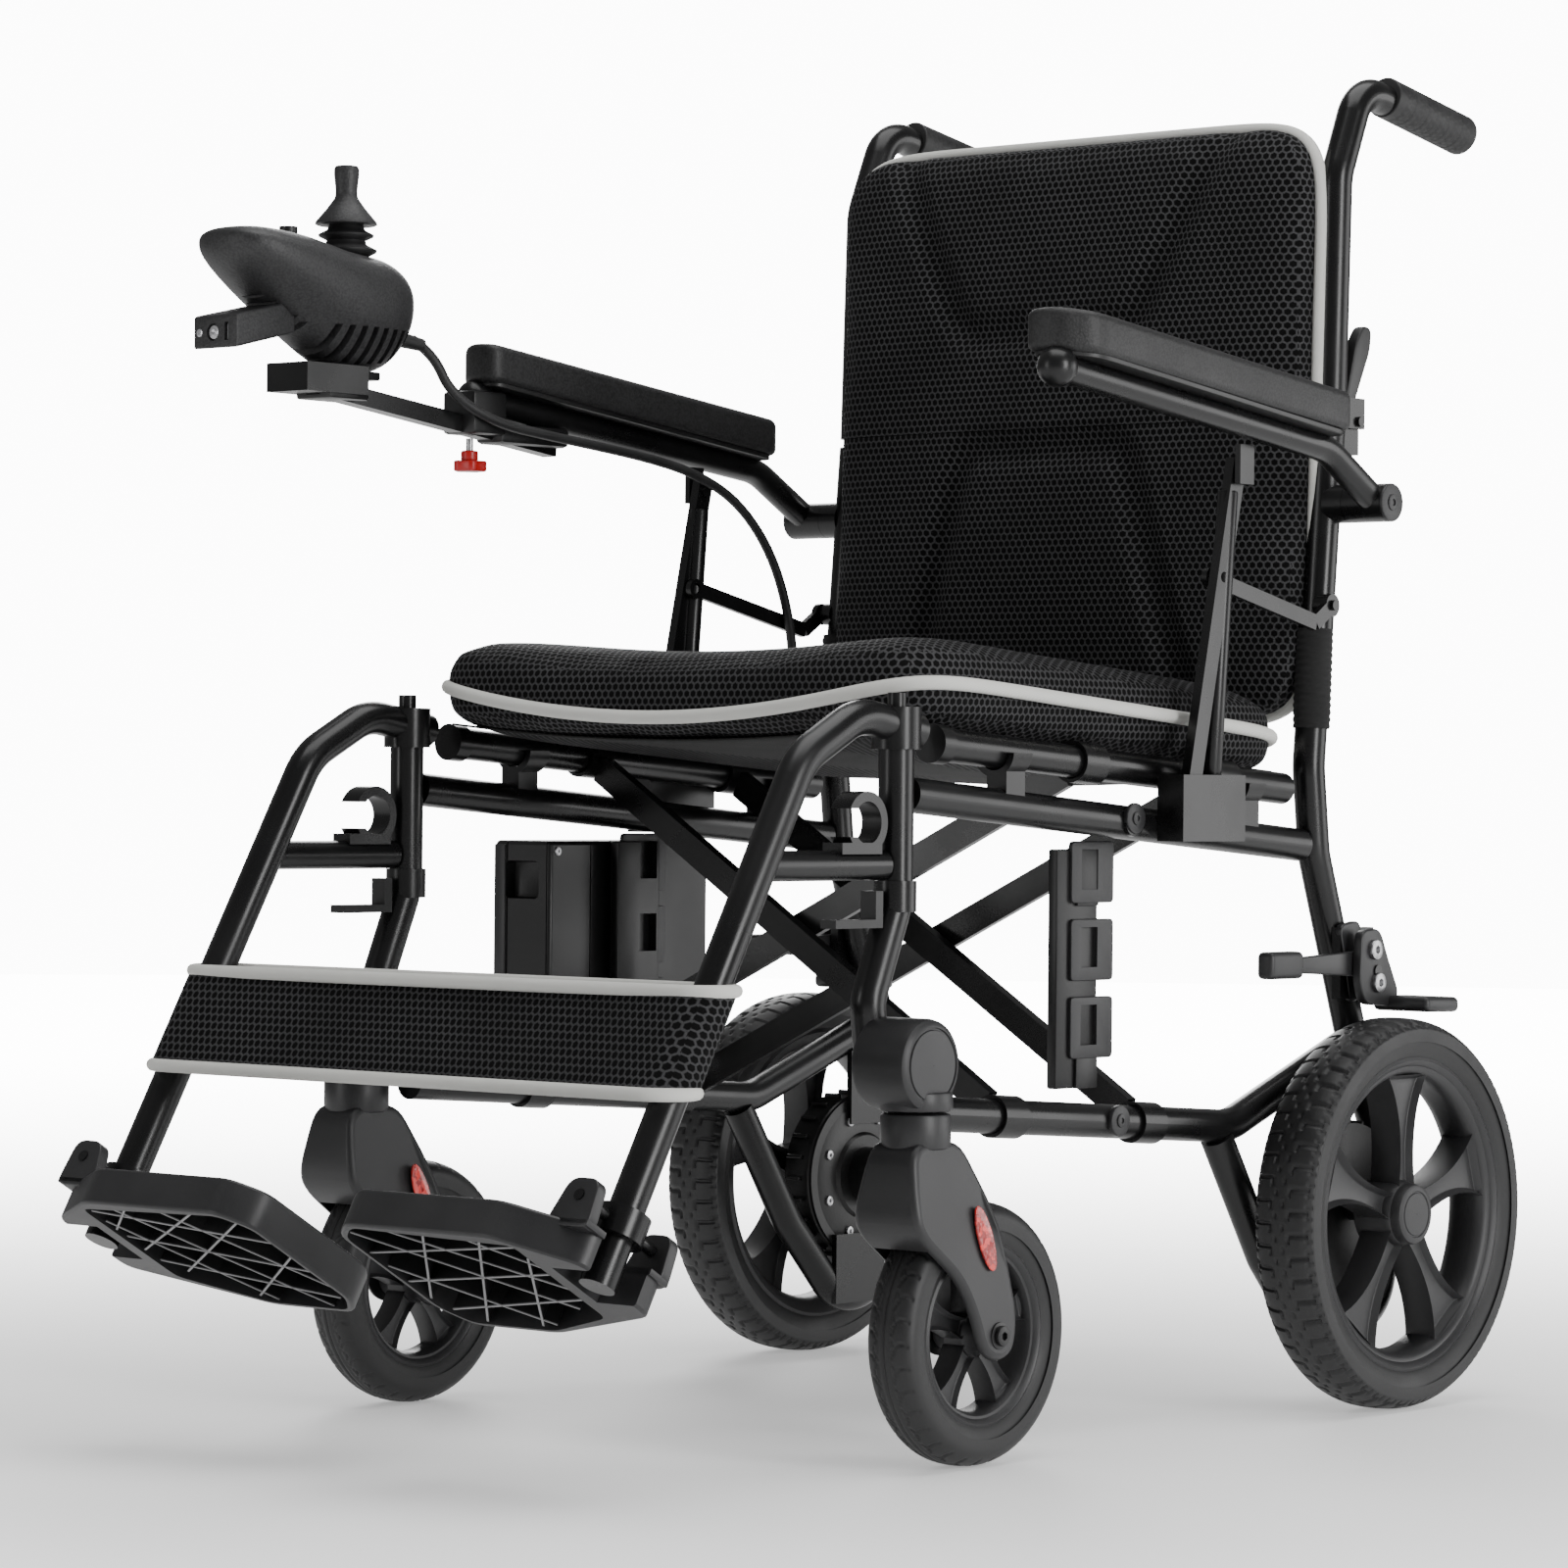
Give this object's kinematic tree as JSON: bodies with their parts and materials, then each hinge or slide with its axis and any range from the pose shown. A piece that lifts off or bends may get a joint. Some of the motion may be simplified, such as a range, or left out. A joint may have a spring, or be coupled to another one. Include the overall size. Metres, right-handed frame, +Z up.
{
  "type": "power wheelchair",
  "caption": "Folding powered wheelchair with tubular side frames, cross braces, swing-away legrests, flip-up arms and an arm-mounted joystick.",
  "frame": {"origin": "on the floor, on the plane of symmetry of the frame, below the sitter's lap", "axes": "+Z up, the chair faces -Y, its left side is +X"},
  "size_m": [0.661, 1.0953, 1.0483],
  "materials": {
    "black_frame": "satin black powder coat",
    "tyre_rubber": "moulded tyre",
    "grip_rubber": "matt",
    "pad_foam": "grained",
    "mesh_fabric": "honeycomb mesh",
    "case_plastic": "fine texture",
    "grey_plastic": "satin",
    "red_plastic": "gloss",
    "motor_metal": "satin black",
    "steel": "brushed"
  },
  "bodies": {
    "right_frame": {"front_post_right": "black_frame", "upper_rail_right": "black_frame", "lower_rail_right": "black_frame", "rear_post_right": "black_frame", "battery_dock_right": "case_plastic", "caster_housing_right": "grey_plastic", "motor_right": "motor_metal", "back_cushion_lower": "mesh_fabric", "controller_lead": "grip_rubber"},
    "left_frame": {"front_post_left": "black_frame", "upper_rail_left": "black_frame", "lower_rail_left": "black_frame", "rear_post_left": "black_frame", "battery_dock_left": "case_plastic", "caster_housing_left": "grey_plastic", "motor_left": "motor_metal"},
    "brace_a": {"cross_brace_a": "black_frame"},
    "brace_b": {"cross_brace_b": "black_frame"},
    "seat_right": {"seat_rail_right": "black_frame", "seat_cushion": "mesh_fabric"},
    "seat_left": {"seat_rail_left": "black_frame"},
    "battery": {"battery": "case_plastic"},
    "controller": {"controller_rail": "black_frame", "controller_case": "case_plastic"},
    "clamp_knob": {"clamp_knob": "red_plastic"},
    "joystick_gimbal": {"joystick_gimbal": "case_plastic"},
    "joystick": {"joystick": "case_plastic"},
    "power_button": {"power_button": "red_plastic"},
    "caster_fork_left": {"caster_fork_left": "grey_plastic"},
    "caster_wheel_left": {"caster_wheel_left": "grey_plastic", "caster_tyre_left": "tyre_rubber"},
    "rear_wheel_left": {"rear_wheel_left": "grey_plastic", "rear_tyre_left": "tyre_rubber"},
    "brake_left": {"brake_lever_left": "grey_plastic"},
    "back_left": {"back_cane_left": "black_frame", "push_grip_left": "grip_rubber"},
    "arm_left": {"arm_tube_left": "black_frame", "arm_pad_left": "pad_foam"},
    "arm_post_left": {"arm_post_left": "black_frame"},
    "arm_link_left": {"arm_link_left": "black_frame"},
    "hanger_left": {"hanger_left": "black_frame", "calf_strap": "mesh_fabric"},
    "hanger_lever_left": {"hanger_lever_left": "steel"},
    "footplate_left": {"footplate_left": "grey_plastic"},
    "caster_fork_right": {"caster_fork_right": "grey_plastic"},
    "caster_wheel_right": {"caster_wheel_right": "grey_plastic", "caster_tyre_right": "tyre_rubber"},
    "rear_wheel_right": {"rear_wheel_right": "grey_plastic", "rear_tyre_right": "tyre_rubber"},
    "brake_right": {"brake_lever_right": "grey_plastic"},
    "back_right": {"back_cane_right": "black_frame", "push_grip_right": "grip_rubber", "back_cushion_upper": "mesh_fabric"},
    "arm_right": {"arm_tube_right": "black_frame", "arm_pad_right": "pad_foam"},
    "arm_post_right": {"arm_post_right": "black_frame"},
    "arm_link_right": {"arm_link_right": "black_frame"},
    "hanger_right": {"hanger_right": "black_frame"},
    "hanger_lever_right": {"hanger_lever_right": "steel"},
    "footplate_right": {"footplate_right": "grey_plastic"}
  },
  "joints": [
    {"name": "fold", "type": "hinge", "parent": "right_frame", "child": "brace_b", "pos_m": [-0.241, 0.15, 0.23083], "axis": [0, -0.9977, 0.068], "range_deg": [0, 33], "deforming": ["seat_cushion", "back_cushion_lower", "back_cushion_upper", "calf_strap"]},
    {"name": "brace_cross", "type": "hinge", "parent": "brace_b", "child": "brace_a", "pos_m": [0, 0.15, 0.36393], "axis": [0, -0.9977, 0.068], "range_deg": [-67, 1]},
    {"name": "left_frame_fold", "type": "hinge", "parent": "brace_a", "child": "left_frame", "pos_m": [0.241, 0.15, 0.23083], "axis": [0, -0.9977, 0.068], "range_deg": [-1, 34]},
    {"name": "seat_right_lift", "type": "hinge", "parent": "brace_a", "child": "seat_right", "pos_m": [-0.238, 0.15, 0.49537], "axis": [0, -0.9977, 0.068], "range_deg": [-1, 34]},
    {"name": "seat_left_lift", "type": "hinge", "parent": "brace_b", "child": "seat_left", "pos_m": [0.238, 0.15, 0.49537], "axis": [0, -0.9977, 0.068], "range_deg": [-34, 1]},
    {"name": "arm_flip_left", "type": "hinge", "parent": "left_frame", "child": "arm_left", "pos_m": [0.241, 0.388, 0.706], "axis": [-1, 0, 0], "range_deg": [0, 80]},
    {"name": "arm_post_swing_left", "type": "hinge", "parent": "arm_left", "child": "arm_post_left", "pos_m": [0.241, 0.226, 0.722], "axis": [-1, 0, 0], "range_deg": [-81, 1]},
    {"name": "arm_link_swing_left", "type": "hinge", "parent": "left_frame", "child": "arm_link_left", "pos_m": [0.241, 0.37, 0.626], "axis": [-1, 0, 0], "range_deg": [-1, 81]},
    {"name": "hanger_swing_left", "type": "hinge", "parent": "left_frame", "child": "hanger_left", "pos_m": [0.241, -0.146, 0.404], "axis": [0, 0, 1], "range_deg": [0, 90], "deforming": ["calf_strap"]},
    {"name": "hanger_release_left", "type": "hinge", "parent": "hanger_left", "child": "hanger_lever_left", "pos_m": [0.241, -0.172, 0.386], "axis": [1, 0, 0], "range_deg": [0, 15], "stiffness_Nm_per_rad": 0.6},
    {"name": "footplate_flip_left", "type": "hinge", "parent": "hanger_left", "child": "footplate_left", "pos_m": [0.241, -0.43435, 0.18689], "axis": [0, 0.8641, -0.5033], "range_deg": [-1, 91], "deforming": ["calf_strap"]},
    {"name": "caster_swivel_left", "type": "hinge", "parent": "left_frame", "child": "caster_fork_left", "pos_m": [0.275, -0.163, 0.254], "axis": [0, 0, 1], "continuous": true},
    {"name": "caster_spin_left", "type": "hinge", "parent": "caster_fork_left", "child": "caster_wheel_left", "pos_m": [0.275, -0.103, 0.0943], "axis": [1, 0, 0], "continuous": true},
    {"name": "rear_wheel_spin_left", "type": "hinge", "parent": "left_frame", "child": "rear_wheel_left", "pos_m": [0.298, 0.402, 0.1525], "axis": [1, 0, 0], "continuous": true},
    {"name": "brake_left", "type": "hinge", "parent": "left_frame", "child": "brake_left", "pos_m": [0.241, 0.414, 0.34], "axis": [-1, 0, 0], "range_deg": [0, 10]},
    {"name": "back_fold", "type": "hinge", "parent": "right_frame", "child": "back_right", "pos_m": [-0.241, 0.414, 0.772], "axis": [-1, 0, 0], "range_deg": [0, 95], "deforming": ["back_cushion_upper", "back_cushion_lower"]},
    {"name": "arm_flip_right", "type": "hinge", "parent": "right_frame", "child": "arm_right", "pos_m": [-0.241, 0.388, 0.706], "axis": [-1, 0, 0], "range_deg": [0, 80], "deforming": ["controller_lead"]},
    {"name": "arm_post_swing_right", "type": "hinge", "parent": "arm_right", "child": "arm_post_right", "pos_m": [-0.241, 0.226, 0.722], "axis": [-1, 0, 0], "range_deg": [-81, 1]},
    {"name": "arm_link_swing_right", "type": "hinge", "parent": "right_frame", "child": "arm_link_right", "pos_m": [-0.241, 0.37, 0.626], "axis": [-1, 0, 0], "range_deg": [-1, 81]},
    {"name": "hanger_swing_right", "type": "hinge", "parent": "right_frame", "child": "hanger_right", "pos_m": [-0.241, -0.146, 0.404], "axis": [0, 0, -1], "range_deg": [0, 90], "deforming": ["calf_strap"]},
    {"name": "hanger_release_right", "type": "hinge", "parent": "hanger_right", "child": "hanger_lever_right", "pos_m": [-0.241, -0.172, 0.386], "axis": [1, 0, 0], "range_deg": [0, 15], "stiffness_Nm_per_rad": 0.6},
    {"name": "footplate_flip_right", "type": "hinge", "parent": "hanger_right", "child": "footplate_right", "pos_m": [-0.241, -0.43435, 0.18689], "axis": [0, -0.8641, 0.5033], "range_deg": [-1, 91], "deforming": ["calf_strap"]},
    {"name": "caster_swivel_right", "type": "hinge", "parent": "right_frame", "child": "caster_fork_right", "pos_m": [-0.275, -0.163, 0.254], "axis": [0, 0, 1], "continuous": true},
    {"name": "caster_spin_right", "type": "hinge", "parent": "caster_fork_right", "child": "caster_wheel_right", "pos_m": [-0.275, -0.103, 0.0943], "axis": [1, 0, 0], "continuous": true},
    {"name": "rear_wheel_spin_right", "type": "hinge", "parent": "right_frame", "child": "rear_wheel_right", "pos_m": [-0.298, 0.402, 0.1525], "axis": [1, 0, 0], "continuous": true},
    {"name": "brake_right", "type": "hinge", "parent": "right_frame", "child": "brake_right", "pos_m": [-0.241, 0.414, 0.34], "axis": [-1, 0, 0], "range_deg": [0, 10]},
    {"name": "back_left_fold", "type": "hinge", "parent": "left_frame", "child": "back_left", "pos_m": [0.241, 0.414, 0.772], "axis": [-1, 0, 0], "range_deg": [-1, 96]},
    {"name": "battery_lift_out", "type": "slide", "parent": "right_frame", "child": "battery", "axis": [-1, 0, 0], "range_m": [0, 0.15]},
    {"name": "controller_reach", "type": "slide", "parent": "arm_right", "child": "controller", "axis": [0, -0.9923, 0.1241], "range_m": [0, 0.04], "deforming": ["controller_lead"]},
    {"name": "clamp_knob_turn", "type": "hinge", "parent": "arm_right", "child": "clamp_knob", "pos_m": [-0.29, -0.028, 0.735], "axis": [0, 0, 1], "continuous": true},
    {"name": "joystick_side", "type": "hinge", "parent": "controller", "child": "joystick_gimbal", "pos_m": [-0.29, -0.168, 0.88], "axis": [0, 1, 0], "range_deg": [-15, 15], "stiffness_Nm_per_rad": 0.08},
    {"name": "joystick_fore", "type": "hinge", "parent": "joystick_gimbal", "child": "joystick", "pos_m": [-0.29, -0.168, 0.88], "axis": [1, 0, 0], "range_deg": [-15, 15], "stiffness_Nm_per_rad": 0.08},
    {"name": "power_press", "type": "slide", "parent": "controller", "child": "power_button", "axis": [0, 0, -1], "range_m": [0, 0.002], "stiffness_N_per_m": 400}
  ],
  "couplings": [
    {"joint": "brace_cross", "follows": "fold", "ratio": -2},
    {"joint": "left_frame_fold", "follows": "fold", "ratio": 1},
    {"joint": "seat_right_lift", "follows": "fold", "ratio": 1},
    {"joint": "seat_left_lift", "follows": "fold", "ratio": -1},
    {"joint": "arm_post_swing_left", "follows": "arm_flip_left", "ratio": -1},
    {"joint": "arm_link_swing_left", "follows": "arm_flip_left", "ratio": 1},
    {"joint": "footplate_flip_left", "follows": "fold", "ratio": 2.72},
    {"joint": "arm_post_swing_right", "follows": "arm_flip_right", "ratio": -1},
    {"joint": "arm_link_swing_right", "follows": "arm_flip_right", "ratio": 1},
    {"joint": "footplate_flip_right", "follows": "fold", "ratio": 2.72},
    {"joint": "back_left_fold", "follows": "back_fold", "ratio": 1}
  ]
}
